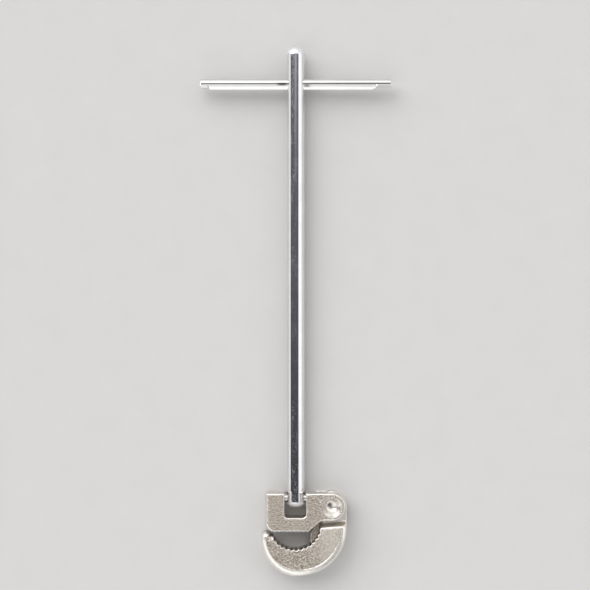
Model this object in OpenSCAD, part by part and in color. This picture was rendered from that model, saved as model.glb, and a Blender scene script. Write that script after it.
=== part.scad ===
// Basin wrench, lying flat: shank along Y, handle towards +Y, jaws towards -Y, front of the head up.
// Lengths are in millimetres. Head outlines are written about the head pin's axis.

/* [Tool] */
// Overall length, from the end of the shank to the back of the hook jaw
overall_length = 280; // [240:1:420]

/* [Shank] */
// Diameter of the round shank
shank_d = 9.525; // [9:0.005:9.8]
// Height of the domed ends of the shank
dome_h = 3; // [1.5:0.1:4]
// Distance that the shank runs past the head pin
shank_past_pin = 4.7; // [3.5:0.1:5.5]

/* [Sliding T-bar] */
// Diameter of the sliding bar
tbar_d = 6.35; // [5:0.05:6.5]
// Length of the sliding bar
tbar_length = 101.6; // [90:0.1:130]
// Distance from the bar's axis to the end of the shank
tbar_inset = 19.9; // [14:0.1:30]
// Radial clearance of the bar in its cross hole
tbar_clearance = 0.08; // [0.04:0.01:0.1]
// Length of the staked flat at the left end
stake_left_len = 4.9; // [3:0.1:8]
// Length of the staked flat at the right end
stake_right_len = 10.2; // [6:0.1:14]
// How far the staked ends bulge past the bar's radius
stake_bulge = 0.5; // [0.35:0.05:0.7]

/* [Head] */
// Thickness of the head, front face to back face
head_t = 14.5; // [13.5:0.1:16]
// Diameter of the head pin
head_pin_d = 4; // [3.5:0.1:4.4]
// Thickness of the hook jaw's tongue, which fills the slot between the ears
tongue_t = 5.8; // [5.4:0.1:6]
// Gap between the tongue and each ear
tongue_gap = 0.3; // [0.2:0.05:0.4]
// Radius of the ears round the jaw rivet
ear_r = 7.7; // [7.4:0.1:7.8]
// Radius of the tongue's round end
tongue_r = 7.9; // [7.6:0.1:8]
// Height of the teeth
tooth_h = 0.75; // [0.4:0.05:0.9]
// Number of teeth on the heel jaw
heel_teeth = 9; // [7:1:11]
// Number of teeth on the hook jaw
hook_teeth = 13; // [9:1:15]

/* [Jaw rivet and spring] */
// Diameter of the rivet's shaft
rivet_d = 5.2; // [5:0.1:5.4]
// Diameter of the rivet's spread ends
rivet_end_d = 6.4; // [6:0.1:6.6]
// Diameter of the dished ring round each rivet end
dish_d = 11.2; // [9:0.1:12]
// Diameter of the spring wire
wire_d = 0.9; // [0.7:0.05:1]
// Mean radius of the spring's coils
coil_r = 3.6; // [3.5:0.05:3.7]
// Turns in the spring
coil_turns = 2.25; // [2.25:0.5:2.25]

/* [Hidden] */
$fn = 64;
e = 0.5;
shank_r = shank_d / 2;
tbar_r = tbar_d / 2;
pin_r = head_pin_d / 2;
mid = head_t / 2;
hook_back = 41;                          // head pin to the back of the hook
pin_y = -overall_length / 2 + hook_back; // where the head pin lies along the tool
shank_top = overall_length / 2 - pin_y;  // head pin to the far end of the shank
tbar_y = shank_top - tbar_inset;
rivet_x = 19;
rivet_y = -4;
rivet_r = rivet_d / 2;
slot_h = tongue_t + 2 * tongue_gap;
notch_l = -5.7;
notch_r = 5.2;
notch_y = -9.4;
heel_y = -17.4;                          // tips of the heel teeth
heel_first = -10.8;
heel_last = 6.3;
jaw_c = [-0.5, -12.9];                   // centre of the hook's toothed arc
jaw_tip_r = 13.3;
coil_pitch = wire_d + 0.02;
coil_z0 = mid - tongue_t / 2 + 0.5;      // centre of the first turn
coil_z1 = coil_z0 + coil_turns * coil_pitch;
pocket_top = coil_z1 + wire_d / 2 + 0.1; // floor of the spring's pocket in the tongue
leg_bend = 0.9;

// Everything of the head is placed about the head pin.
module at_pin() translate([0, pin_y, 0]) children();

// ---- curve helpers ----
function arc(c, r, a0, a1, n) = [for (i = [0:n]) let (a = a0 + (a1 - a0) * i / n) [c[0] + r * cos(a), c[1] + r * sin(a)]];
// A point at t on the Catmull-Rom span from p1 to p2.
function crom(p0, p1, p2, p3, t) = 0.5 * (2 * p1 + (p2 - p0) * t + (2 * p0 - 5 * p1 + 4 * p2 - p3) * t * t + (3 * p1 - p0 - 3 * p2 + p3) * t * t * t);
function smooth(p, n) = let (m = len(p)) concat(
    [for (i = [0:m - 2], k = [0:n - 1]) crom(p[max(i - 1, 0)], p[i], p[i + 1], p[min(i + 2, m - 1)], k / n)], [p[m - 1]]);

// ---- shank ----
// Half profile of a round bar from y0 to y1 with domed ends, for turning about its axis.
function dome(r, h, n) = let (s = (r * r + h * h) / (2 * h), a = asin(r / s))
    [for (i = [0:n]) let (t = a * (1 - i / n)) [s * sin(t), s * cos(t) - (s - h)]];
module round_bar(r, y0, y1, h) {
    d = dome(r, h, 7);
    rotate([-90, 0, 0]) rotate_extrude($fn = 96)
        polygon(concat([for (i = [7:-1:0]) [d[i][0], y0 + h - d[i][1]]], [for (i = [0:7]) [d[i][0], y1 - h + d[i][1]]]));
}
module shank() {
    color([0.82, 0.83, 0.85]) at_pin() translate([0, 0, mid]) difference() {
        round_bar(shank_r, -shank_past_pin, shank_top, dome_h);
        translate([0, tbar_y, 0]) rotate([0, 90, 0]) cylinder(r = tbar_r + tbar_clearance, h = 30, center = true);
        rotate([0, 90, 0]) cylinder(r = pin_r + 0.06, h = 30, center = true);
    }
}

// ---- sliding bar, staked at both ends so that it stays in its hole ----
module staked_end(len, w, r) rotate([0, 90, 0]) intersection() {
    cylinder(r = r, h = len);
    translate([-10, -w, -1]) cube([20, 2 * w, len + 2]);
}
module t_bar() {
    half = tbar_length / 2;
    color([0.85, 0.86, 0.87]) at_pin() translate([0, tbar_y, mid]) difference() {
        union() {
            rotate([0, 90, 0]) rotate_extrude() polygon([[0, -half], [tbar_r - 0.5, -half], [tbar_r, -half + 0.5], [tbar_r, half - 0.5], [tbar_r - 0.5, half], [0, half]]);
            translate([-half + 0.4, 0, 0]) staked_end(stake_left_len - 0.4, 1.6, tbar_r + stake_bulge);
            translate([half - stake_right_len, 0, 0]) staked_end(stake_right_len - 0.4, 1.0, tbar_r + stake_bulge);
        }
        translate([-half - 1, -tbar_r - 1, -10]) cube([stake_left_len + 1, 2.5, 20]);
        translate([half - stake_right_len, -tbar_r - 1, -10]) cube([stake_right_len + 1, 3.1, 20]);
    }
}

// ---- head: the heel jaw ----
function heel_bite() = let (p = (heel_last - heel_first) / (heel_teeth - 1))
    [for (i = [0:2 * heel_teeth]) [heel_first + (i - 1) * p / 2, i % 2 == 1 ? heel_y : heel_y + tooth_h]];
module heel_outline() polygon(concat(
    [[notch_l, 3.9], [-15.2, 3.9]], arc([-15.2, 2.9], 1, 90, 180, 4), [[-16.2, -13]],
    smooth([[-16.2, -13], [-15.9, -14.5], [-15.1, -15.8], [-13.7, -16.7], [-12.4, -16.8]], 3),
    heel_bite(),
    smooth([[8.1, -16.6], [9.9, -15.2], [11.8, -13.6], [13.6, -12.3], [15.6, -11.8], [17.6, -11.6]], 3),
    arc([rivet_x, rivet_y], ear_r, -90, 90, 28),
    [[rivet_x - 1, 3.9], [notch_r, 3.9]],
    arc([notch_r - 1.7, notch_y + 1.7], 1.7, 0, -90, 5), arc([notch_l + 1.7, notch_y + 1.7], 1.7, -90, -180, 5)));
// Space between the ears that the tongue turns in.
module slot_outline() polygon([[10.4, 8], [10.4, -4], [9, -14.9], [7.2, -18.5], [7.2, -30], [40, -30], [40, 8]]);
// One end of the rivet's hole: the spread end's seat, then the dished ring.
module rivet_seat() rotate_extrude() polygon([[0, -2], [rivet_r + 0.02, -2], [rivet_r + 0.02, -1.7], [rivet_end_d / 2 + 0.02, -0.6], [dish_d / 2, 0], [dish_d / 2, 1], [0, 1]]);
module heel_jaw() {
    color([0.66, 0.64, 0.61]) at_pin() difference() {
        linear_extrude(head_t) heel_outline();
        translate([0, 0, mid - slot_h / 2]) linear_extrude(slot_h) slot_outline();
        // hole for the head pin: through the left arm, blind on the right
        translate([-25, 0, mid]) rotate([0, 90, 0]) cylinder(r = pin_r + 0.01, h = 34.4);
        translate([rivet_x, rivet_y, -1]) cylinder(r = rivet_r + 0.02, h = head_t + 2);
        translate([rivet_x, rivet_y, head_t]) rivet_seat();
        translate([rivet_x, rivet_y, 0]) mirror([0, 0, 1]) rivet_seat();
        // blind hole in the back ear for the spring's end
        translate([rivet_x + leg_bend, rivet_y + coil_r, 1.9]) cylinder(r = wire_d / 2 + 0.15, h = 4, $fn = 24);
    }
}
module head_pin() {
    color([0.72, 0.72, 0.73]) at_pin() translate([-16.1, 0, mid]) rotate([0, 90, 0]) rotate_extrude()
        polygon([[0, 0], [pin_r - 0.4, 0], [pin_r, 0.4], [pin_r, 24.9], [pin_r - 0.4, 25.3], [0, 25.3]]);
}

// ---- head: the hook jaw ----
function hook_bite() = [for (i = [0:2 * hook_teeth - 2]) let (a = -15.5 - 131.5 * i / (2 * hook_teeth - 2), r = jaw_tip_r + (i % 2 == 1 ? tooth_h : 0))
    [jaw_c[0] + r * cos(a), jaw_c[1] + r * sin(a)]];
function hook_back_curve() = smooth([[-13.1, -18.8], [-13.5, -17.9], [-14.6, -17.4], [-15.8, -17.2], [-17.1, -17.6], [-18, -18.9], [-18.4, -21.3], [-17.7, -26], [-16, -30.6],
    [-13, -34.9], [-8.3, -38.7], [-3.2, -40.6], [1.6, -41], [6.5, -40.3], [11.8, -38.6], [16.6, -36], [20.9, -32.1], [24, -27.6], [26.2, -22.3], [27.2, -17], [27.2, -13.8]], 5);
module hook_outline() polygon(concat(hook_back_curve(), [[23.8, -14.5], [12.9, -15.4]], hook_bite(), [[-12.2, -19.6]]));
module tongue_outline() union() {
    translate([rivet_x, rivet_y]) circle(r = tongue_r);
    polygon([[rivet_x - tongue_r + 0.05, rivet_y + 0.8], [9.6, -15], [7.8, -18.2], [7.8, -22.5], [8.1, -25], [10, -27], [25, -22], [26.85, -14], [rivet_x + tongue_r - 0.05, rivet_y]]);
}
module hook_jaw() {
    color([0.68, 0.66, 0.63]) at_pin() difference() {
        union() {
            linear_extrude(head_t) hook_outline();
            translate([0, 0, mid - tongue_t / 2]) linear_extrude(tongue_t) tongue_outline();
        }
        translate([rivet_x, rivet_y, -1]) cylinder(r = rivet_r + 0.06, h = head_t + 2);
        // pocket for the coils, and the groove for the end that drives this jaw
        translate([rivet_x, rivet_y, mid - tongue_t / 2 - 1]) cylinder(r = coil_r + wire_d / 2 + 0.45, h = pocket_top - mid + tongue_t / 2 + 1);
        translate([rivet_x - coil_r - 0.65, rivet_y - 5.4, mid - tongue_t / 2 - 1]) cube([1.3, 5.9, pocket_top - mid + tongue_t / 2 + 1]);
    }
}
module jaw_rivet() {
    color([0.74, 0.72, 0.69]) at_pin() translate([rivet_x, rivet_y, 0]) difference() {
        rotate_extrude() polygon([[0, 0.35], [rivet_end_d / 2 - 0.15, 0.35], [rivet_end_d / 2, 0.6], [rivet_r, 1.7],
            [rivet_r, head_t - 1.7], [rivet_end_d / 2, head_t - 0.6], [rivet_end_d / 2 - 0.15, head_t - 0.35], [0, head_t - 0.35]]);
        translate([0, 0, head_t + 2.2]) sphere(r = 3.6);
        translate([0, 0, -2.2]) sphere(r = 3.6);
    }
}

// ---- jaw spring: a coil round the rivet with one end in the back ear and the other in the tongue ----
function radial(a) = [cos(a), sin(a), 0];
function tangential(a) = [-sin(a), cos(a), 0];
// Each entry is [point, angle that the section's first axis points at].
function spring_path() = concat(
    [for (z = [2.2, 3, coil_z0 - leg_bend]) [coil_r * radial(90) - leg_bend * tangential(90) + [0, 0, z], 90]],
    [for (s = [30, 60]) [coil_r * radial(90) - leg_bend * cos(s) * tangential(90) + [0, 0, coil_z0 - leg_bend + leg_bend * sin(s)], 90]],
    [for (i = [0:45]) let (a = 90 + 360 * coil_turns * i / 45) [coil_r * radial(a) + [0, 0, coil_z0 + coil_pitch * coil_turns * i / 45], a]],
    [for (d = [1, 3, 4.6]) let (a = 90 + 360 * coil_turns) [coil_r * radial(a) + d * tangential(a) + [0, 0, coil_z1], a]]);
module tube(path, r, sides) {
    m = len(path);
    rings = [for (i = [0:m - 1]) let (
        t0 = path[min(i + 1, m - 1)][0] - path[max(i - 1, 0)][0], t = t0 / norm(t0),
        n0 = radial(path[i][1]), n1 = n0 - (n0 * t) * t, n = n1 / norm(n1), b = cross(t, n))
        [for (k = [0:sides - 1]) path[i][0] + r * (cos(360 * k / sides) * n + sin(360 * k / sides) * b)]];
    polyhedron(points = [for (g = rings, p = g) p], faces = concat(
        [[for (k = [0:sides - 1]) sides - 1 - k]],
        [for (i = [0:m - 2], k = [0:sides - 1]) let (a = i * sides + k, b = i * sides + (k + 1) % sides) [a, b, b + sides]],
        [for (i = [0:m - 2], k = [0:sides - 1]) let (a = i * sides + k, b = i * sides + (k + 1) % sides) [a, b + sides, a + sides]],
        [[for (k = [0:sides - 1]) (m - 1) * sides + k]]));
}
module jaw_spring() color([0.45, 0.45, 0.47]) at_pin() translate([rivet_x, rivet_y, 0]) tube(spring_path(), wire_d / 2, 10);

shank();
t_bar();
heel_jaw();
head_pin();
hook_jaw();
jaw_rivet();
jaw_spring();
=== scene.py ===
import math
import bmesh
import bpy
import numpy as np
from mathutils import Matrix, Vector


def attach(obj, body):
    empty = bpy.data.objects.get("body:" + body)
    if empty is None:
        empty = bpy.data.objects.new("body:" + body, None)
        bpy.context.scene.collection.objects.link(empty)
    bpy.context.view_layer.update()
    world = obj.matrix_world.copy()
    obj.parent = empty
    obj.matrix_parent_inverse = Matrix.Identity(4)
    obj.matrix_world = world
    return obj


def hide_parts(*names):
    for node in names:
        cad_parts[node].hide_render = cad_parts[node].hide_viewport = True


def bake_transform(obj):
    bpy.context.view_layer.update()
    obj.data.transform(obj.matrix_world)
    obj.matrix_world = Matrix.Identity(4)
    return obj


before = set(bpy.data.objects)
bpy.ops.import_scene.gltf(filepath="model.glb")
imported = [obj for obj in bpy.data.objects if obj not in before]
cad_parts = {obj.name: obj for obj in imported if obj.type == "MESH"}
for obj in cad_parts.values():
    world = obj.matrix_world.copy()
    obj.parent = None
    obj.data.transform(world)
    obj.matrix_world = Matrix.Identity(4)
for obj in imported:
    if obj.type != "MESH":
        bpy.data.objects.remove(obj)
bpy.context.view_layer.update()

# The CAD frame: head pin at (0, PIN_Y), mid-plane of the head at z = MID. Head shapes below are in mm about the pin, with z from the mid-plane.
PIN_Y, MID, T2 = -99.0, 7.25, 7.25
RX, RY = 19.0, -4.0                      # jaw rivet
SHANK_R, SHANK_TOP, SHANK_LOW = 4.7625, 239.0, -4.7
BAR_R, BAR_Y, BAR_HALF = 3.175, 219.1, 50.8


def to_row(v):
    """mm about the head pin to metres in the row frame."""
    v = np.asarray(v, float)
    return (v + np.array([0.0, PIN_Y, MID])) * 0.001


# ------------------------------------------------------------------ curves and distance fields
def crom(p0, p1, p2, p3, t):
    return 0.5 * (2 * p1 + (p2 - p0) * t + (2 * p0 - 5 * p1 + 4 * p2 - p3) * t * t + (3 * p1 - p0 - 3 * p2 + p3) * t ** 3)


def smooth(points, n):
    p = np.asarray(points, float)
    m = len(p)
    out = [crom(p[max(i - 1, 0)], p[i], p[i + 1], p[min(i + 2, m - 1)], k / n) for i in range(m - 1) for k in range(n)]
    return [tuple(q) for q in out] + [tuple(p[-1])]


def arc(cx, cy, r, a0, a1, n):
    return [(cx + r * math.cos(math.radians(a0 + (a1 - a0) * i / n)), cy + r * math.sin(math.radians(a0 + (a1 - a0) * i / n))) for i in range(n + 1)]


def poly_distance(p, x, y):
    p = np.asarray(p, float)
    q = np.roll(p, -1, 0)
    d2 = np.full(np.broadcast(x, y).shape, 1e18)
    inside = np.zeros(d2.shape, bool)
    for (ax, ay), (bx, by) in zip(p, q):
        ex, ey = bx - ax, by - ay
        n2 = ex * ex + ey * ey
        if n2 < 1e-14:
            continue
        wx, wy = x - ax, y - ay
        t = np.clip((wx * ex + wy * ey) / n2, 0, 1)
        np.minimum(d2, (wx - t * ex) ** 2 + (wy - t * ey) ** 2, out=d2)
        if ay != by:
            inside ^= ((ay > y) != (by > y)) & (x < ex * (y - ay) / (by - ay) + ax)
    d = np.sqrt(d2)
    return np.where(inside, -d, d)


class Outline:
    """Signed distance to a closed outline, negative inside, kept on a fine grid and read by bilinear interpolation."""
    STEP = 0.08

    def __init__(self, points, lo=(-24.0, -46.0), hi=(34.0, 14.0)):
        self.lo = lo
        xs = np.arange(lo[0], hi[0], self.STEP)
        ys = np.arange(lo[1], hi[1], self.STEP)
        self.d = poly_distance(points, xs[:, None], ys[None, :])

    def __call__(self, x, y):
        u = np.clip((x - self.lo[0]) / self.STEP, 0, self.d.shape[0] - 1.001)
        v = np.clip((y - self.lo[1]) / self.STEP, 0, self.d.shape[1] - 1.001)
        i, j = u.astype(int), v.astype(int)
        i, j = np.broadcast_arrays(i, j)
        fu, fv = u - i, v - j
        d = self.d
        return (d[i, j] * (1 - fu) + d[i + 1, j] * fu) * (1 - fv) + (d[i, j + 1] * (1 - fu) + d[i + 1, j + 1] * fu) * fv


def meet(a, b, r):
    """Intersection with an edge rounded to radius r."""
    return np.minimum(np.maximum(a, b), -r) + np.hypot(np.maximum(a + r, 0), np.maximum(b + r, 0))


def join(a, b, r):
    """Union with a fillet of radius r."""
    return -meet(-a, -b, r)


def step(a, b, x):
    t = np.clip((x - a) / (b - a), 0, 1)
    return t * t * (3 - 2 * t)


class Noise:
    """Smooth value noise on a seeded lattice, about -1 to 1, with one feature per unit."""

    def __init__(self, seed):
        self.v = np.random.RandomState(seed).uniform(-1, 1, (64, 64, 64))

    def __call__(self, x, y, z):
        x, y, z = np.broadcast_arrays(x, y, z)
        i, j, k = np.floor(x).astype(int), np.floor(y).astype(int), np.floor(z).astype(int)
        f = [a - b for a, b in ((x, i), (y, j), (z, k))]
        f = [t * t * t * (t * (t * 6 - 15) + 10) for t in f]
        out = 0.0
        for di in (0, 1):
            for dj in (0, 1):
                for dk in (0, 1):
                    w = (f[0] if di else 1 - f[0]) * (f[1] if dj else 1 - f[1]) * (f[2] if dk else 1 - f[2])
                    out = out + w * self.v[(i + di) & 63, (j + dj) & 63, (k + dk) & 63]
        return out


n1, n2 = Noise(11), Noise(23)


def cast_skin(x, y, z):
    """The slight unevenness of a blasted casting."""
    return 0.030 * n1(x * 0.45 + 7, y * 0.45 + 3, z * 0.45) + 0.016 * n2(x * 1.25, y * 1.25, z * 1.25 + 9)


# ------------------------------------------------------------------ the heel jaw
heel_mid = Outline(
    [(-5.7, 3.95), (-15.3, 3.95)] + arc(-15.3, 3.05, 0.9, 90, 180, 6)
    + smooth([(-16.2, -12.6), (-15.95, -14.4), (-15.1, -15.9), (-13.6, -17.1), (-12.4, -18.3)], 6)
    + [(7.3, -18.3)] + smooth([(7.3, -18.0), (8.75, -16.45), (10.75, -14.7), (12.5, -13.0), (14.2, -12.15), (16.4, -12.0), (18.2, -12.1)], 6)
    + arc(RX, RY, 8.1, -90, 78.8, 40) + [(20.4, 3.95)])
pitch_h = (6.3 + 10.8) / 8
heel_teeth = Outline([(-30, 30), (-30, -16.9), (-12.6, -16.9)]
                     + [(-10.8 + (i - 1) * pitch_h / 2, -17.40 if i % 2 else -16.35) for i in range(19)]
                     + [(7.7, -17.4), (9.0, -19.5), (34, -19.5), (34, 30)], lo=(-24.0, -24.0))
notch = Outline([(-5.7, 30), (-5.7, -7.8)] + arc(-4.1, -7.8, 1.6, 180, 270, 8) + arc(3.55, -7.8, 1.6, 270, 360, 8) + [(5.15, 30)], lo=(-24.0, -24.0))
slot = Outline([(10.4, 20), (10.4, -4), (9, -14.9), (7.2, -18.5), (7.2, -30), (45, -30), (45, 20)], lo=(-24.0, -24.0))


def heel_body(x, y, z):
    az = np.abs(z)
    f = meet((heel_mid(x, y) + 0.131 * az) * 0.992, az - T2, 0.62)
    f = meet(f, heel_teeth(x, y), 0.10)
    f = meet(f, -(notch(x, y) - 0.055 * az), 0.35)
    rho = np.hypot(x - RX, y - RY)
    f = meet(f, -np.maximum(az - 3.2, slot(x, y)), 0.22)
    f = meet(f, 17.9 - np.sqrt(rho ** 2 + (az - (T2 - 0.9 + 17.9)) ** 2), 0.3)
    return f


def heel(x, y, z):
    az = np.abs(z)
    rho = np.hypot(x - RX, y - RY)
    f = heel_body(x, y, z) + cast_skin(x, y, z)
    f = meet(f, (2.62 + 0.6 * np.clip((az - 5.55) / 1.1, 0, 1) - rho) * 0.9, 0.08)
    f = meet(f, -np.maximum(np.hypot(y, z) - 2.01, x - 9.4), 0.12)
    hx, hy = x - (RX + 0.9), y - (RY + 3.6)
    return np.maximum(f, -np.maximum(np.hypot(hx, hy) - 0.62, np.abs(z + 4.2) - 1.2))


# ------------------------------------------------------------------ the hook jaw
back_curve = smooth([(-13.1, -18.8), (-13.5, -17.9), (-14.6, -17.4), (-15.8, -17.2), (-17.1, -17.6), (-18, -18.9), (-18.4, -21.3), (-17.7, -26), (-16, -30.6),
                     (-13, -34.9), (-8.3, -38.7), (-3.2, -40.6), (1.6, -40.95), (6.5, -40.3), (11.8, -38.6), (16.6, -36), (20.9, -32.1), (24, -27.6),
                     (26.2, -22.3), (27.15, -17), (27.15, -13.8)], 8)
hook_mid = Outline(back_curve + [(26.9, -10), (26.9, 30), (-9, 30)])
bite = []
for i in range(25):
    a = math.radians(-15.5 - 131.5 * i / 24)
    r = 13.35 + (0.78 if i % 2 else 0)
    bite.append((-0.42 + r * math.cos(a), -12.9 + r * math.sin(a)))
mouth = Outline([(12.9, 30), (12.9, -15.3)] + bite + [(-12.3, -19.5), (-13.1, -18.6), (-14.2, -10), (-14.2, 30)])
ledge = Outline([(12.9, -15.4), (23.8, -14.5), (40, -13.2), (40, 40), (12.9, 40)], hi=(34.0, 20.0))
field_line = smooth([(23.75, -10), (23.75, -14.7), (23.55, -18.6), (22.2, -22.9), (20.1, -27.0), (17.0, -31.0), (12.8, -34.2), (7.5, -36.2), (2.3, -37.0),
                     (-3.0, -36.4), (-7.7, -34.4), (-11.4, -31.3), (-13.8, -27.6), (-15.1, -23.8), (-15.6, -20.8), (-14.9, -19.3), (-13.2, -18.9)], 8)
field = Outline(field_line + [(-10, -10)])
web = Outline([(RX - 7.85, RY + 0.8), (9.6, -15), (7.8, -18.2), (7.8, -22.5), (8.1, -25), (10, -27), (24.4, -22), (26.9, -14), (RX + 7.88, RY)])


def tongue(x, y, z):
    d = np.minimum(np.hypot(x - RX, y - RY) - 7.9, web(x, y))
    return meet(d, np.abs(z) - 2.9, 0.35)


def hook_body(x, y, z):
    az = np.abs(z)
    top = T2 - 0.28 * step(0.28, -0.28, field(x, y))
    f = meet((hook_mid(x, y) + 0.045 * az), az - top, 3.0)
    f = meet(f, -(mouth(x, y) - 0.03 * az), 0.14)
    f = meet(f, -ledge(x, y - 0.5 * (T2 - az)) * 0.9, 0.5)
    return join(f, tongue(x, y, z), 0.7)


def hook(x, y, z):
    f = hook_body(x, y, z) + cast_skin(x + 40, y, z) * step(2.9, 4.2, np.hypot(x - RX, y - RY))
    rho = np.hypot(x - RX, y - RY)
    f = meet(f, 2.66 - rho, 0.12)
    floor = 6.92 + 0.45 + 0.1 - MID
    f = np.maximum(f, -np.maximum(rho - 4.5, z - floor))
    return np.maximum(f, -np.maximum(np.maximum(np.abs(x - RX + 3.6) - 0.65, np.abs(y - RY + 2.45) - 2.95), z - floor))


# ------------------------------------------------------------------ surface from a distance function
def nets(f, lo, hi, h):
    ax = [np.arange(lo[i], hi[i] + h, h) for i in range(3)]
    F = f(ax[0][:, None, None], ax[1][None, :, None], ax[2][None, None, :])
    F = np.broadcast_to(F, [len(a) for a in ax])
    S = F < 0
    n = F.shape
    cnt = np.zeros([m - 1 for m in n], np.int8)
    for i in (0, 1):
        for j in (0, 1):
            for k in (0, 1):
                cnt += S[i:n[0] - 1 + i, j:n[1] - 1 + j, k:n[2] - 1 + k]
    act = (cnt > 0) & (cnt < 8)
    idx = np.full(act.shape, -1, np.int64)
    cells = np.argwhere(act)
    idx[act] = np.arange(len(cells))
    V, W = np.zeros((len(cells), 3)), np.zeros(len(cells))
    for a in range(3):
        b, c = [q for q in range(3) if q != a]
        for u in (0, 1):
            for v in (0, 1):
                o = np.zeros(3, int)
                o[b], o[c] = u, v
                o1 = o.copy()
                o1[a] = 1
                p0, p1 = (cells + o).T, (cells + o1).T
                f0, f1 = F[p0[0], p0[1], p0[2]], F[p1[0], p1[1], p1[2]]
                m = (f0 < 0) != (f1 < 0)
                P = np.tile(o.astype(float), (int(m.sum()), 1))
                P[:, a] += f0[m] / (f0[m] - f1[m])
                V[m] += P
                W[m] += 1
    V = (V / W[:, None] + cells) * h + np.array([a[0] for a in ax])
    quads = []
    for a in range(3):
        b, c = (a + 1) % 3, (a + 2) % 3
        s0 = [slice(None)] * 3
        s1 = [slice(None)] * 3
        s0[a], s1[a] = slice(0, n[a] - 1), slice(1, n[a])
        A, B = S[tuple(s0)], S[tuple(s1)]
        e = np.argwhere(A != B)
        e = e[(e[:, b] > 0) & (e[:, b] < n[b] - 1) & (e[:, c] > 0) & (e[:, c] < n[c] - 1)]
        q = []
        for ob, oc in ((-1, -1), (0, -1), (0, 0), (-1, 0)):
            d = e.copy()
            d[:, b] += ob
            d[:, c] += oc
            q.append(idx[d[:, 0], d[:, 1], d[:, 2]])
        q = np.stack(q, 1)
        out = A[e[:, 0], e[:, 1], e[:, 2]]
        q[~out] = q[~out][:, ::-1]
        quads.append(q)
    return V, np.concatenate(quads)


def slope(f, V, e=0.05):
    g = np.zeros_like(V)
    for a in range(3):
        d = np.zeros(3)
        d[a] = e
        g[:, a] = (f(*(V + d).T) - f(*(V - d).T)) / (2 * e)
    return g


def settle(f, V, Q, h, rounds=2):
    """Puts the vertices on the surface, evening them out along it between rounds."""
    for k in range(rounds + 1):
        for _ in range(2):
            g = slope(f, V)
            s = f(*V.T) / np.maximum((g * g).sum(1), 0.3)
            V = V - g * np.clip(s, -0.6 * h, 0.6 * h)[:, None]
        if k < rounds:
            acc, num = np.zeros_like(V), np.zeros(len(V))
            for i in range(4):
                np.add.at(acc, Q[:, i], V[Q[:, (i + 1) % 4]])
                np.add.at(num, Q[:, i], 1)
                np.add.at(acc, Q[:, i], V[Q[:, (i - 1) % 4]])
                np.add.at(num, Q[:, i], 1)
            m = acc / np.maximum(num, 1)[:, None] - V
            g = slope(f, V)
            g /= np.linalg.norm(g, axis=1)[:, None] + 1e-9
            m -= g * (m * g).sum(1)[:, None]
            V = V + 0.6 * m
    return V


def new_mesh(name, V, F, material=None):
    me = bpy.data.meshes.new(name)
    F = np.asarray(F)
    me.vertices.add(len(V))
    me.vertices.foreach_set("co", np.asarray(V, np.float32).ravel())
    k = F.shape[1]
    me.loops.add(F.size)
    me.loops.foreach_set("vertex_index", F.ravel().astype(np.int32))
    me.polygons.add(len(F))
    me.polygons.foreach_set("loop_start", np.arange(0, F.size, k, dtype=np.int32))
    me.update(calc_edges=True)
    me.validate()
    me.polygons.foreach_set("use_smooth", np.ones(len(me.polygons), bool))
    ob = bpy.data.objects.new(name, me)
    bpy.context.scene.collection.objects.link(ob)
    if material:
        me.materials.append(material)
    return ob


def add_attribute(ob, name, values):
    at = ob.data.attributes.new(name, "FLOAT", "POINT")
    at.data.foreach_set("value", np.asarray(values, np.float32))


H = 0.24


def casting(name, f, body, lo, hi):
    V, Q = nets(f, lo, hi, H)
    V = settle(f, V, Q, H)
    V[:, 2] = np.clip(V[:, 2], -T2, T2)
    # how convex the surface is over half a millimetre: over 0 on edges, under 0 in corners
    e, lap = 0.45, 0.0
    for a in range(3):
        d = np.zeros(3)
        d[a] = e
        lap = lap + body(*(V + d).T) + body(*(V - d).T)
    lap = lap - 6 * body(*V.T)
    lip = np.hypot(V[:, 0] - RX, V[:, 1] - RY)
    lap = lap * (1 - 0.65 * step(4.9, 5.2, lip) * step(6.5, 6.2, lip) * (np.abs(V[:, 2]) > 6.3))
    ob = new_mesh(name, to_row(V), Q)
    add_attribute(ob, "edge", np.clip(lap / 0.45, -1, 1))
    return ob, V


# ------------------------------------------------------------------ materials
def nodes_of(name):
    m = bpy.data.materials.new(name)
    m.use_nodes = True
    nt = m.node_tree
    return m, nt, nt.nodes["Principled BSDF"]


def link(nt, a, b):
    nt.links.new(a, b)


def noise(nt, coord, scale, detail=3.0, rough=0.55):
    n = nt.nodes.new("ShaderNodeTexNoise")
    n.inputs["Scale"].default_value = scale
    n.inputs["Detail"].default_value = detail
    n.inputs["Roughness"].default_value = rough
    link(nt, coord, n.inputs["Vector"])
    return n.outputs["Fac"]


def stretched(nt, scale):
    tc = nt.nodes.new("ShaderNodeTexCoord")
    mp = nt.nodes.new("ShaderNodeMapping")
    mp.inputs["Scale"].default_value = scale
    link(nt, tc.outputs["Object"], mp.inputs["Vector"])
    return mp.outputs["Vector"]


def remap(nt, value, a, b, c, d):
    n = nt.nodes.new("ShaderNodeMapRange")
    for k, v in zip(("From Min", "From Max", "To Min", "To Max"), (a, b, c, d)):
        n.inputs[k].default_value = v
    link(nt, value, n.inputs["Value"])
    return n.outputs["Result"]


def maths(nt, op, a, b, clamp=False):
    n = nt.nodes.new("ShaderNodeMath")
    n.operation = op
    n.use_clamp = clamp
    for i, v in enumerate((a, b)):
        if isinstance(v, (int, float)):
            n.inputs[i].default_value = v
        else:
            link(nt, v, n.inputs[i])
    return n.outputs[0]


def ramp(nt, value, stops):
    n = nt.nodes.new("ShaderNodeValToRGB")
    el = n.color_ramp.elements
    while len(el) < len(stops):
        el.new(0.5)
    for e, (p, c) in zip(el, stops):
        e.position, e.color = p, (*c, 1)
    link(nt, value, n.inputs["Fac"])
    return n.outputs["Color"]


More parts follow.
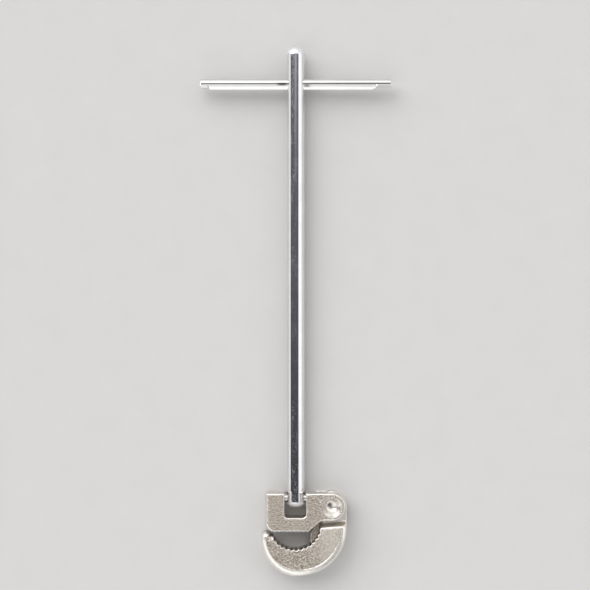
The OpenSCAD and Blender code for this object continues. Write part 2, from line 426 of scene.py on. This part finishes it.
def blend_colour(nt, fac, a, b, mode="MIX"):
    n = nt.nodes.new("ShaderNodeMix")
    n.data_type, n.blend_type = "RGBA", mode
    for sock, v in (("Factor_Float", fac), ("A_Color", a), ("B_Color", b)):
        i = next(s for s in n.inputs if s.identifier == sock)
        if isinstance(v, tuple):
            i.default_value = (*v, 1)
        elif isinstance(v, (int, float)):
            i.default_value = v
        else:
            link(nt, v, i)
    return next(s for s in n.outputs if s.identifier == "Result_Color")


def bump(nt, height, strength, distance, normal=None):
    n = nt.nodes.new("ShaderNodeBump")
    n.inputs["Strength"].default_value = strength
    n.inputs["Distance"].default_value = distance
    link(nt, height, n.inputs["Height"])
    if normal is not None:
        link(nt, normal, n.inputs["Normal"])
    return n.outputs["Normal"]


def chrome(name, along, tone, rough, wear, frosted=False):
    """Bright plate over drawn rod: fine lines run along the rod, with a few longer rubs."""
    m, nt, p = nodes_of(name)
    p.inputs["Metallic"].default_value = 1.0
    fine = [2600.0] * 3
    fine[along] = 26.0
    rub = [420.0] * 3
    rub[along] = 60.0
    lines = noise(nt, stretched(nt, fine), 1.0, 2.0)
    rubs = noise(nt, stretched(nt, rub), 1.0, 4.0, 0.6)
    cloud = noise(nt, stretched(nt, (90.0, 90.0, 90.0)), 1.0, 3.0)
    lit = blend_colour(nt, remap(nt, cloud, 0.35, 0.65, 0.0, 1.0), tuple(c * 0.94 for c in tone), tone)
    # painted shade: an attribute set on the bar and the rivet darkens the plate towards near black there
    painted_shade = nt.nodes.new("ShaderNodeAttribute")
    painted_shade.attribute_name = "painted_shade"
    lit = blend_colour(nt, maths(nt, "MULTIPLY", painted_shade.outputs["Fac"], 0.88), lit, (0.09, 0.075, 0.07))
    link(nt, lit, p.inputs["Base Color"])
    fleck = noise(nt, stretched(nt, tuple(1500.0 if v != along else 600.0 for v in range(3))), 1.0, 3.0, 0.7)
    end = nt.nodes.new("ShaderNodeAttribute")
    end.attribute_name = "end"
    r = maths(nt, "ADD", remap(nt, rubs, 0.50, 0.75, 0.0, 0.11 * wear), remap(nt, lines, 0.3, 0.7, rough, rough + 0.05))
    r = maths(nt, "ADD", r, remap(nt, fleck, 0.50, 0.75, 0.0, 0.15 * wear))
    r = maths(nt, "ADD", r, maths(nt, "MULTIPLY", end.outputs["Fac"], 0.40))
    if frosted:                                            # ground ends, duller than the drawn sides
        link(nt, remap(nt, end.outputs["Fac"], 0.0, 1.0, 1.0, 0.25), p.inputs["Metallic"])
    link(nt, r, p.inputs["Roughness"])
    link(nt, bump(nt, lines, 0.10, 0.00002, bump(nt, cloud, 0.10, 0.00006)), p.inputs["Normal"])
    return m


def cast_metal(name):
    """Blasted, plated casting: a fine warm-grey grain on the fields, and edges rubbed smooth and bright; painted shade
    darkens corners and recesses, and painted light brightens lit walls, rims and the right side of the hook.
    """
    m, nt, p = nodes_of(name)
    p.inputs["Metallic"].default_value = 1.0
    vec = stretched(nt, (1000.0, 1000.0, 1000.0))          # millimetres
    coarse, fine = noise(nt, vec, 1.45, 2.0, 0.6), noise(nt, vec, 2.9, 2.0, 0.6)
    grain = maths(nt, "ADD", maths(nt, "MULTIPLY", coarse, 0.5), maths(nt, "MULTIPLY", fine, 0.5))
    grain = remap(nt, grain, 0.35, 0.65, 0.06, 0.94)
    pits = noise(nt, vec, 0.62, 2.0, 0.5)
    patch = noise(nt, vec, 0.12, 2.0, 0.5)
    att = {}
    for key in ("edge", "rub", "painted_light_right", "inner"):
        at = nt.nodes.new("ShaderNodeAttribute")
        at.attribute_name = key
        att[key] = at.outputs["Fac"]
    ed = maths(nt, "ADD", att["edge"], remap(nt, grain, 0.3, 0.7, -0.20, 0.20))
    worn_and_painted_light = remap(nt, ed, 0.14, 0.46, 0.0, 1.0)
    # rub brings in real edge wear and painted light alike; inner, a painted shade, holds it back in the recesses
    worn_and_painted_light = maths(nt, "MAXIMUM", worn_and_painted_light, att["rub"], True)
    worn_and_painted_light = maths(nt, "MULTIPLY", worn_and_painted_light, maths(nt, "SUBTRACT", 1.0, maths(nt, "MULTIPLY", att["inner"], 0.75)))
    # painted shade: concave corners and creases are darkened towards brown
    painted_crevice_shade = remap(nt, att["edge"], -0.08, -0.7, 0.0, 1.0)
    base = ramp(nt, grain, [(0.24, (0.135, 0.108, 0.086)), (0.5, (0.42, 0.365, 0.310)), (0.76, (0.90, 0.84, 0.75))])
    base = blend_colour(nt, remap(nt, patch, 0.35, 0.65, 0.0, 0.25), base, (0.54, 0.49, 0.43))
    # painted light: paler towards the right of the hook
    base = blend_colour(nt, maths(nt, "MULTIPLY", att["painted_light_right"], 0.55), base, (0.74, 0.70, 0.63))
    base = blend_colour(nt, maths(nt, "MULTIPLY", painted_crevice_shade, 0.7), base, (0.13, 0.11, 0.09))
    # painted shade: the hook's tongue inside the mouth and slot is darkened
    base = blend_colour(nt, maths(nt, "MULTIPLY", att["inner"], 0.6), base, (0.17, 0.14, 0.115))
    base = blend_colour(nt, worn_and_painted_light, base, (0.93, 0.90, 0.86))
    link(nt, base, p.inputs["Base Color"])
    rough = remap(nt, grain, 0.3, 0.7, 0.52, 0.36)
    link(nt, maths(nt, "SUBTRACT", rough, maths(nt, "MULTIPLY", worn_and_painted_light, 0.20)), p.inputs["Roughness"])
    keep = remap(nt, worn_and_painted_light, 0.0, 0.7, 1.0, 0.08)
    h = maths(nt, "MULTIPLY", maths(nt, "ADD", grain, maths(nt, "MULTIPLY", pits, 0.5)), keep)
    link(nt, bump(nt, h, 0.8, 0.00015), p.inputs["Normal"])
    return m


def turned(name, tone, rough, lines=(3000.0, 3000.0, 3000.0), depth=0.25):
    m, nt, p = nodes_of(name)
    p.inputs["Metallic"].default_value = 1.0
    g = noise(nt, stretched(nt, lines), 1.0, 3.0)
    big = noise(nt, stretched(nt, (350.0, 350.0, 350.0)), 1.0, 3.0)
    # painted shade: an attribute darkens the steel towards near black where it is set
    painted_shade = nt.nodes.new("ShaderNodeAttribute")
    painted_shade.attribute_name = "painted_shade"
    tones = ramp(nt, big, [(0.3, tuple(c * 0.8 for c in tone)), (0.7, tone)])
    link(nt, blend_colour(nt, maths(nt, "MULTIPLY", painted_shade.outputs["Fac"], 0.9), tones, (0.10, 0.085, 0.075)), p.inputs["Base Color"])
    link(nt, remap(nt, g, 0.3, 0.7, rough, rough + 0.12), p.inputs["Roughness"])
    link(nt, bump(nt, g, depth, 0.00003), p.inputs["Normal"])
    return m


shank_mat = chrome("shank_chrome", 1, (0.83, 0.84, 0.86), 0.045, 1.0, True)
bar_mat = chrome("bar_chrome", 0, (0.86, 0.86, 0.855), 0.035, 0.35)
cast_mat = cast_metal("cast_jaw")
pin_mat = turned("pin_steel", (0.72, 0.71, 0.70), 0.2, (200.0, 3000.0, 3000.0))
rivet_mat = turned("rivet_steel", (0.86, 0.83, 0.78), 0.22, depth=0.06)
spring_mat = turned("spring_steel", (0.30, 0.30, 0.32), 0.28)


def place(ob, body, node):
    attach(ob, body)
    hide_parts(node)


# ------------------------------------------------------------------ jaws
heel_ob, hv = casting("heel_jaw_casting", heel, heel_body, (-17.2, -18.6, -8.0), (28.2, 5.0, 8.0))
hook_ob, kv = casting("hook_jaw_casting", hook, hook_body, (-19.4, -42.0, -8.0), (28.4, 5.0, 8.0))
for ob, v, bodyname, node in ((heel_ob, hv, "head", "heel_jaw"), (hook_ob, kv, "hook", "hook_jaw")):
    x, y, z = v.T
    if node == "hook_jaw":
        rub = step(-0.10, 0.40, field(x, y)) * step(-13.6, -15.2, y) * step(-0.1, 0.5, mouth(x, y))
        rub = np.maximum(rub, step(0.0, 0.3, field(x, y)) * step(-20.2, -19.6, y) * step(-10.5, -11.5, x) * step(1.5, 3.0, np.abs(z)))
        rub = rub * (0.3 + 0.7 * step(2.6, 4.6, np.abs(z)))
        # painted light: the hook's ledge and tongue in the gap below the ear are brightened as if lit from above
        painted_ledge_light = step(4.4, 3.4, np.abs(z)) * step(13.0, 15.0, x) * step(-15.6, -14.9, y) * step(-7.0, -9.0, y)
        rub = np.maximum(rub, 0.55 * painted_ledge_light)
        # painted light: the hook grows paler towards the right, as if more brightly lit there
        painted_light_right = step(4, 22, x + 0.25 * (y + 27))
        # painted shade: the tongue's surfaces inside the mouth and the slot are darkened and kept from looking worn
        inner = step(4.4, 3.2, np.abs(z)) * step(1.2, 0.2, web(x, y)) * step(15.0, 13.0, x)
        painted_light_right = painted_light_right * (1 - inner)
    else:
        rho = np.hypot(x - RX, y - RY)
        # the dished ring round the rivet is a little smoother and brighter all round, and much brighter towards the
        # lower right: painted light
        dish = step(5.75, 5.2, rho) * step(6.0, 6.3, np.abs(z)) * step(3.0, 3.25, rho)
        painted_light_lower_right = step(-2.5, 4.0, 0.65 * (x - RX) - 0.75 * (y - RY))
        # painted light: the top and left side walls are brightened as if lit from above, more on the front half
        painted_lit_walls = step(-0.75, -0.35, heel_mid(x, y) + 0.131 * np.abs(z)) * step(6.9, 6.2, np.abs(z)) * np.maximum(step(3.0, 3.4, y), step(-15.2, -15.6, x))
        # painted light: the notch's side walls are made bright all over, standing in for light inside the notch
        sides = step(6.0, 5.6, np.abs(x + 0.27)) * step(-7.6, -6.8, y) * step(6.9, 6.4, np.abs(z))
        # painted highlight: the rim round the rivet is brightened towards the right
        painted_rim_highlight = step(6.3, 6.9, rho) * step(RX - 2, RX + 2, x + 0.4 * (y - RY)) * step(5.5, 6.3, np.abs(z))
        rub = np.maximum(np.maximum(dish * (0.15 + 0.78 * painted_light_lower_right), painted_rim_highlight * 0.75), np.maximum(painted_lit_walls * (0.3 + 0.4 * step(-2.0, 0.5, z)), sides))
        painted_light_right, inner = 0 * x, 0 * x
    # rub holds real edge wear together with painted light; the next two hold painted light on the right of the hook and
    # painted shade in its recesses
    add_attribute(ob, "rub", np.clip(rub, 0, 1))
    add_attribute(ob, "painted_light_right", painted_light_right)
    add_attribute(ob, "inner", inner)
    ob.data.materials.append(cast_mat)
    place(ob, bodyname, node)


# ------------------------------------------------------------------ turned pieces
def lathe(name, profile, sides, axis, centre, material):
    """profile: (distance along the axis, radius) from end to end, both ends on the axis."""
    rings = [p for p in profile[1:-1]]
    n = len(rings)
    V = [None] * (n * sides + 2)
    for i, (t, r) in enumerate(rings):
        for k in range(sides):
            a = 2 * math.pi * k / sides
            V[i * sides + k] = (t, r * math.cos(a), r * math.sin(a))
    V[n * sides], V[n * sides + 1] = (profile[0][0], 0, 0), (profile[-1][0], 0, 0)
    V = np.array(V)
    if axis == "Y":
        V = V[:, [2, 0, 1]]
    elif axis == "Z":
        V = V[:, [1, 2, 0]]
    V = to_row(V + np.array(centre))
    bm = bmesh.new()
    vs = [bm.verts.new(v) for v in V]
    for i in range(n - 1):
        for k in range(sides):
            j = (k + 1) % sides
            bm.faces.new((vs[i * sides + k], vs[i * sides + j], vs[(i + 1) * sides + j], vs[(i + 1) * sides + k]))
    for k in range(sides):
        j = (k + 1) % sides
        bm.faces.new((vs[n * sides], vs[j], vs[k]))
        bm.faces.new((vs[n * sides + 1], vs[(n - 1) * sides + k], vs[(n - 1) * sides + j]))
    bmesh.ops.recalc_face_normals(bm, faces=bm.faces)
    for f in bm.faces:
        f.smooth = True
    me = bpy.data.meshes.new(name)
    bm.to_mesh(me)
    bm.free()
    me.materials.append(material)
    ob = bpy.data.objects.new(name, me)
    bpy.context.scene.collection.objects.link(ob)
    return ob


def rounded(points, r, n=5):
    """Rounds the corners of an open profile."""
    out = [points[0]]
    for a, b, c in zip(points, points[1:], points[2:]):
        a, b, c = np.array(a, float), np.array(b, float), np.array(c, float)
        u, v = a - b, c - b
        lu, lv = np.linalg.norm(u), np.linalg.norm(v)
        s = min(r, 0.45 * lu, 0.45 * lv)
        p, q = b + u / lu * s, b + v / lv * s
        for i in range(n + 1):
            t = i / n
            out.append(tuple((1 - t) ** 2 * p + 2 * t * (1 - t) * b + t * t * q))
    return out + [points[-1]]


def cut(ob, cutters, is_hole_edge, width):
    """Takes the cutters out of ob and eases the new edges."""
    for c in cutters:
        m = ob.modifiers.new("cut", "BOOLEAN")
        m.object, m.operation, m.solver = c, "DIFFERENCE", "EXACT"
    dg = bpy.context.evaluated_depsgraph_get()
    me = bpy.data.meshes.new_from_object(ob.evaluated_get(dg))
    ob.modifiers.clear()
    ob.data = me
    for c in cutters:
        bpy.data.objects.remove(c)
    bm = bmesh.new()
    bm.from_mesh(me)
    edges = [e for e in bm.edges if len(e.link_faces) == 2 and e.calc_face_angle(0) > 0.5 and is_hole_edge((e.verts[0].co + e.verts[1].co) / 2)]
    bmesh.ops.bevel(bm, geom=edges, offset=width, segments=3, profile=0.5, affect="EDGES", clamp_overlap=True)
    for f in bm.faces:
        f.smooth = True
    bm.to_mesh(me)
    bm.free()
    return ob


def dome(r, h, n, k=2.3):
    """(radius, height above the foot) along a full, softly squared dome."""
    return [(r * math.cos(t) ** (2 / k), h * math.sin(t) ** (2 / k)) for t in (math.pi / 2 * i / n for i in range(n))] + [(0.0, h)]


foot, crown = 2.9, 4.0
low = [(SHANK_LOW + foot - hgt, r) for r, hgt in reversed(dome(SHANK_R, foot, 22))]
high = [(SHANK_TOP - crown + hgt, r) for r, hgt in dome(SHANK_R, crown, 22)]
body = [(t, SHANK_R) for t in np.linspace(SHANK_LOW + foot + 2.4, SHANK_TOP - crown - 2.4, 98)]
shank = lathe("shank_rod", low + body + high, 160, "Y", (0, 0, 0), shank_mat)
holes = [lathe("cut_bar", [(-9, 0), (-9, 3.255), (9, 3.255), (9, 0)], 96, "X", (0, BAR_Y, 0), shank_mat),
         lathe("cut_pin", [(-9, 0), (-9, 2.06), (9, 2.06), (9, 0)], 72, "X", (0, 0, 0), shank_mat)]


def near_hole(p):
    y, z = p.y * 1000 - PIN_Y, p.z * 1000 - MID
    return abs(math.hypot(y - BAR_Y, z) - 3.255) < 0.06 or abs(math.hypot(y, z) - 2.06) < 0.06


cut(shank, holes, near_hole, 0.00022)


def true_round(ob):
    """Exact normals on the rod's round outside, so that it mirrors cleanly beside its holes."""
    me = ob.data
    custom = []
    for f in me.polygons:
        c = f.center
        radial = Vector((c.x, 0, c.z - MID * 0.001))
        out = radial.length > 0.00468 and abs(f.normal.y) < 0.02 and f.normal.dot(radial.normalized()) > 0.985
        for li in f.loop_indices:
            v = me.vertices[me.loops[li].vertex_index].co
            n = Vector((v.x, 0, v.z - MID * 0.001))
            custom.append(tuple(n.normalized()) if out else (0, 0, 0))
    me.normals_split_custom_set(custom)


true_round(shank)
sy_ = np.array([v.co.y for v in shank.data.vertices]) * 1000 - PIN_Y
add_attribute(shank, "end", np.maximum(step(SHANK_LOW + foot - 0.1, SHANK_LOW + foot - 0.7, sy_), 0.6 * step(SHANK_TOP - crown + 0.1, SHANK_TOP - crown + 0.9, sy_)))
place(shank, "shank", "shank")

# the sliding bar: round sections, squeezed at the staked ends
xs = np.concatenate([np.linspace(-BAR_HALF + 0.55, -44.5, 26), np.linspace(-44, 38.6, 60), np.linspace(39, BAR_HALF - 0.55, 44)])
SIDES = 96
ring = np.linspace(0, 2 * math.pi, SIDES, endpoint=False)


def bar_section(x):
    s = np.ones(SIDES) * BAR_R
    y, z = s * np.cos(ring), s * np.sin(ring)
    for lim, w, bul in ((-1.68, step(-45.9, -46.5, x), 0.42), (-1.08, step(40.9, 43.3, x), 0.42)):
        if w <= 0:
            continue
        lim = -BAR_R + (lim + BAR_R) * w
        flat = np.maximum(y, lim)
        over = flat - y
        y = flat + 0.10 * np.exp(-((flat - lim) / 0.25) ** 2) * w * (over <= 1e-6)
        z = z * (1 + bul / BAR_R * w * np.exp(-((y - lim) / 0.9) ** 2))
    return y, z


rows = []
for x, k in [(-BAR_HALF, 0.86), (-BAR_HALF + 0.12, 0.92), (-BAR_HALF + 0.32, 0.97)] + [(x, 1.0) for x in xs] + [(BAR_HALF - 0.32, 0.97), (BAR_HALF - 0.12, 0.92), (BAR_HALF, 0.86)]:
    y, z = bar_section(x)
    rows.append(np.stack([np.full(SIDES, x), BAR_Y + y * k, z * k], 1))
V = np.concatenate(rows)
F = [(i * SIDES + k, i * SIDES + (k + 1) % SIDES, (i + 1) * SIDES + (k + 1) % SIDES, (i + 1) * SIDES + k) for i in range(len(rows) - 1) for k in range(SIDES)]
bm = bmesh.new()
vs = [bm.verts.new(v) for v in to_row(V)]
for f in F:
    bm.faces.new([vs[i] for i in f])
for base, mid_x in ((0, -BAR_HALF), ((len(rows) - 1) * SIDES, BAR_HALF)):
    ring_v = vs[base:base + SIDES]
    c0 = sum((v.co for v in ring_v), Vector()) / SIDES
    inner = [bm.verts.new(c0 + (v.co - c0) * 0.55) for v in ring_v]
    mid_v = bm.verts.new(c0)
    for k in range(SIDES):
        j = (k + 1) % SIDES
        bm.faces.new((ring_v[k], ring_v[j], inner[j], inner[k]))
        bm.faces.new((inner[k], inner[j], mid_v))
bmesh.ops.recalc_face_normals(bm, faces=bm.faces)
for f in bm.faces:
    f.smooth = True
for e in bm.edges:
    if len(e.link_faces) == 2 and e.calc_face_angle(0) > 0.7:
        e.smooth = False
me = bpy.data.meshes.new("sliding_bar")
bm.to_mesh(me)
bm.free()
me.materials.append(bar_mat)
bar = bpy.data.objects.new("sliding_bar", me)
bpy.context.scene.collection.objects.link(bar)
custom = []
for f in me.polygons:
    vy = [me.vertices[v].co.y * 1000 - PIN_Y - BAR_Y for v in f.vertices]
    limit = -1.3 if f.center.x < -0.0455 else (-0.75 if f.center.x > 0.0408 else -9.0)
    plain = min(vy) > limit and abs(f.normal.x) < 0.15 and len(f.vertices) == 4
    for li in f.loop_indices:
        co = me.vertices[me.loops[li].vertex_index].co
        y, z = co.y * 1000 - PIN_Y - BAR_Y, co.z * 1000 - MID
        if not plain:
            custom.append((0, 0, 0))
            continue
        a = math.degrees(math.atan2(y, abs(z)))
        a = a - 9 * math.exp(-((a - 5) / 22) ** 2) + 10 * min(max((-a - 30) / 15, 0), 1) * min(max((90 + a) / 30, 0), 1)
        custom.append((0, math.sin(math.radians(a)), math.copysign(math.cos(math.radians(a)), z)))
me.normals_split_custom_set(custom)
bp = np.array([v.co for v in me.vertices]) * 1000 - [0, BAR_Y + PIN_Y, MID]
# painted shade: dark patches on the bar either side of the shank, standing in for the shank's shadow and the dark hole
# mirrored in the bar
painted_shade_by_hole = np.exp(-((bp[:, 0] + 7.2) / 2.6) ** 4 - ((bp[:, 1] - 0.1) / 0.75) ** 4) + 0.8 * np.exp(-((bp[:, 0] - 6.0) / 1.6) ** 4 - ((bp[:, 1] + 0.7) / 0.8) ** 4)
add_attribute(bar, "painted_shade", np.clip(painted_shade_by_hole, 0, 1))
place(bar, "t_bar", "t_bar")

pin = lathe("head_pin_steel", rounded([(-16.1, 0), (-16.1, 1.6), (-15.75, 2.0), (8.9, 2.0), (9.2, 1.7), (9.2, 0)], 0.15, 4), 64, "X", (0, 0, 0), pin_mat)
place(pin, "head", "head_pin")

half = [(7.25 - 1.25 + 0.92 * (r / 2.8) ** 2.0, r) for r in np.linspace(0.2, 2.78, 14)]
half += [(6.93, 2.9), (6.93, 3.02), (6.86, 3.14), (6.72, 3.2), (6.60, 3.19), (6.1, 2.9), (5.56, 2.6)]
prof = [(half[0][0] - 0.005, 0)] + half
prof = [(-t, r) for t, r in prof] + [(t, 2.6) for t in (-3, 0, 3)] + list(reversed(prof))
rivet = lathe("jaw_rivet_steel", prof, 96, "Z", (RX, RY, 0), rivet_mat)
rp = np.array([v.co for v in rivet.data.vertices]) * 1000 - [RX, RY + PIN_Y, MID]
# painted shade: the upper left of the rivet's dimple is darkened, standing in for the shaded side of the hollow
add_attribute(rivet, "painted_shade", np.exp(-((rp[:, 0] + 0.95) ** 2 + (rp[:, 1] - 1.2) ** 2) / 1.55 ** 2) * step(2.95, 2.5, np.hypot(rp[:, 0], rp[:, 1])) * (np.abs(rp[:, 2]) > 5.8))
place(rivet, "head", "jaw_rivet")

# ------------------------------------------------------------------ the jaw spring
CR, WR, TURNS, PITCH = 3.6, 0.45, 2.25, 0.92
Z0 = MID - 2.9 + 0.5
Z1 = Z0 + TURNS * PITCH


def radial(a):
    return np.array([math.cos(a), math.sin(a), 0.0])


def tangential(a):
    return np.array([-math.sin(a), math.cos(a), 0.0])


A0 = math.pi / 2
path = [(CR * radial(A0) - 0.9 * tangential(A0) + [0, 0, z], A0) for z in np.linspace(2.2, Z0 - 0.95, 6)]
path += [(CR * radial(A0) - 0.9 * math.cos(s) * tangential(A0) + [0, 0, Z0 - 0.9 + 0.9 * math.sin(s)], A0) for s in np.radians([0, 15, 30, 45, 60, 75])]
path += [(CR * radial(A0 + 2 * math.pi * TURNS * t) + [0, 0, Z0 + TURNS * PITCH * t], A0 + 2 * math.pi * TURNS * t) for t in np.linspace(0, 1, 110)]
A1 = A0 + 2 * math.pi * TURNS
path += [(CR * radial(A1) + d * tangential(A1) + [0, 0, Z1], A1) for d in np.linspace(0.3, 4.6, 12)]
pts = np.array([p for p, _ in path])
ang = [a for _, a in path]
WS = 16
V = []
for i in range(len(pts)):
    t = pts[min(i + 1, len(pts) - 1)] - pts[max(i - 1, 0)]
    t /= np.linalg.norm(t)
    n = radial(ang[i])
    n = n - n.dot(t) * t
    n /= np.linalg.norm(n)
    b = np.cross(t, n)
    V += [pts[i] + WR * (math.cos(2 * math.pi * k / WS) * n + math.sin(2 * math.pi * k / WS) * b) for k in range(WS)]
bm = bmesh.new()
vs = [bm.verts.new((np.array(v) + [RX, RY + PIN_Y, 0]) * 0.001) for v in V]
for i in range(len(pts) - 1):
    for k in range(WS):
        j = (k + 1) % WS
        bm.faces.new((vs[i * WS + k], vs[i * WS + j], vs[(i + 1) * WS + j], vs[(i + 1) * WS + k]))
bm.faces.new(list(reversed(vs[:WS])))
bm.faces.new(vs[-WS:])
bmesh.ops.recalc_face_normals(bm, faces=bm.faces)
for f in bm.faces:
    f.smooth = len(f.verts) == 4
me = bpy.data.meshes.new("jaw_spring_wire")
bm.to_mesh(me)
bm.free()
me.materials.append(spring_mat)
spring = bpy.data.objects.new("jaw_spring_wire", me)
bpy.context.scene.collection.objects.link(spring)
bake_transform(spring)
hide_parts("jaw_spring")

# ------------------------------------------------------------------ camera, floor and light
sc = bpy.context.scene
sc.view_settings.view_transform = "Standard"
cam_d = bpy.data.cameras.new("camera")
cam = bpy.data.objects.new("camera", cam_d)
sc.collection.objects.link(cam)
DIST = 0.95
cam.location = (-0.00037, (107.7 + PIN_Y) * 0.001, MID * 0.001 + DIST)
cam.rotation_euler = (0, 0, 0)
cam_d.sensor_width = 36
cam_d.lens = 36 * DIST / (590 * 0.5305 * 0.001)
cam_d.clip_start, cam_d.clip_end = 0.05, 20
sc.camera = cam

floor_m, nt, p = nodes_of("pale_floor")
p.inputs["Roughness"].default_value = 0.85
g = noise(nt, stretched(nt, (60.0, 60.0, 60.0)), 1.0, 2.0)
link(nt, ramp(nt, g, [(0.3, (0.60, 0.597, 0.592)), (0.7, (0.615, 0.612, 0.607))]), p.inputs["Base Color"])
bm = bmesh.new()
bmesh.ops.create_grid(bm, x_segments=2, y_segments=2, size=4.0)
me = bpy.data.meshes.new("floor")
bm.to_mesh(me)
bm.free()
me.materials.append(floor_m)
floor = bpy.data.objects.new("floor", me)
floor.location = (0, 0, -0.0001)
sc.collection.objects.link(floor)

world = bpy.data.worlds.new("soft_room")
sc.world = world
world.use_nodes = True
wt = world.node_tree
bg = wt.nodes["Background"]
tc = wt.nodes.new("ShaderNodeTexCoord")
sep = wt.nodes.new("ShaderNodeSeparateXYZ")
link(wt, tc.outputs["Generated"], sep.inputs[0])
X, Y, Z = sep.outputs
up = maths(wt, "MAXIMUM", Z, 0.02)
u, v = maths(wt, "DIVIDE", X, up), maths(wt, "DIVIDE", Y, up)


def toward(d, a, b, top):
    n = math.sqrt(sum(k * k for k in d))
    dot = 0.0
    for c, k in zip((X, Y, Z), d):
        dot = maths(wt, "ADD", dot, maths(wt, "MULTIPLY", c, k / n))
    return remap(wt, dot, a, b, 0.0, top)


def times(*fs):
    out = fs[0]
    for f in fs[1:]:
        out = maths(wt, "MULTIPLY", out, f)
    return out


def mixed(fac, a, b):
    return maths(wt, "ADD", times(a, maths(wt, "SUBTRACT", 1.0, fac)), times(b, fac) if not isinstance(b, float) else maths(wt, "MULTIPLY", fac, b))


# a white room, brightest from the upper left, with a dark corner at the lower right
key = toward((-0.55, 0.62, 0.56), 0.78, 0.95, 1.8)
corner = toward((0.50, -0.52, 0.69), 0.87, 0.95, 0.62)
level = times(maths(wt, "ADD", key, 1.0), maths(wt, "SUBTRACT", 1.0, corner))
level = times(maths(wt, "MULTIPLY", level, 1.22), remap(wt, Z, 0.02, 0.40, 0.72, 1.0))
# darker corners of the room low down, which shape the plate when it is seen from the side
ax, ay = maths(wt, "ABSOLUTE", X, 0), maths(wt, "ABSOLUTE", Y, 0)
low_band = times(remap(wt, ay, 0.28, 0.42, 0.0, 1.0), remap(wt, ax, 0.14, 0.26, 0.0, 1.0), remap(wt, Z, 0.08, 0.14, 0.0, 1.0), remap(wt, Z, 0.30, 0.40, 1.0, 0.0))
level = times(level, maths(wt, "SUBTRACT", 1.0, maths(wt, "MULTIPLY", low_band, 0.62)))
# the long dark stripe that the rod mirrors: a narrow black flag overhead, across the rod
flag = times(remap(wt, u, -3.1, -2.45, 0.0, 1.0), remap(wt, u, 0.64, 0.84, 1.0, 0.0),
             remap(wt, Y, -0.175, -0.135, 0.0, 1.0), remap(wt, Y, 0.15, 0.19, 1.0, 0.0))
lift = times(remap(wt, maths(wt, "ABSOLUTE", u, 0), 0.0, 0.45, 1.0, 0.0), remap(wt, Y, 0.055, 0.135, 0.0, 0.34))
level = mixed(flag, level, maths(wt, "ADD", lift, remap(wt, Y, -0.10, 0.02, 0.052, 0.115)))
# and the thin line along the bar
side = remap(wt, u, -0.02, 0.02, 0.0, 1.0)
near = remap(wt, maths(wt, "ABSOLUTE", u, 0), 0.08, 0.13, 1.0, 0.0)
thin = times(remap(wt, v, 0.14, 0.20, 0.0, 1.0), remap(wt, v, 0.50, 0.62, 1.0, 0.0), near)
level = mixed(thin, level, remap(wt, side, 0.0, 1.0, 0.60, 0.20))
soft = times(remap(wt, v, -0.22, -0.15, 1.0, 0.0), remap(wt, v, -0.95, -0.70, 0.0, 1.0), near)
level = times(level, maths(wt, "SUBTRACT", 1.0, maths(wt, "MULTIPLY", soft, 0.25)))
link(wt, level, bg.inputs["Strength"])
tint = blend_colour(wt, flag, (1.0, 0.99, 0.98), (1.0, 0.96, 1.06))
link(wt, tint, bg.inputs["Color"])
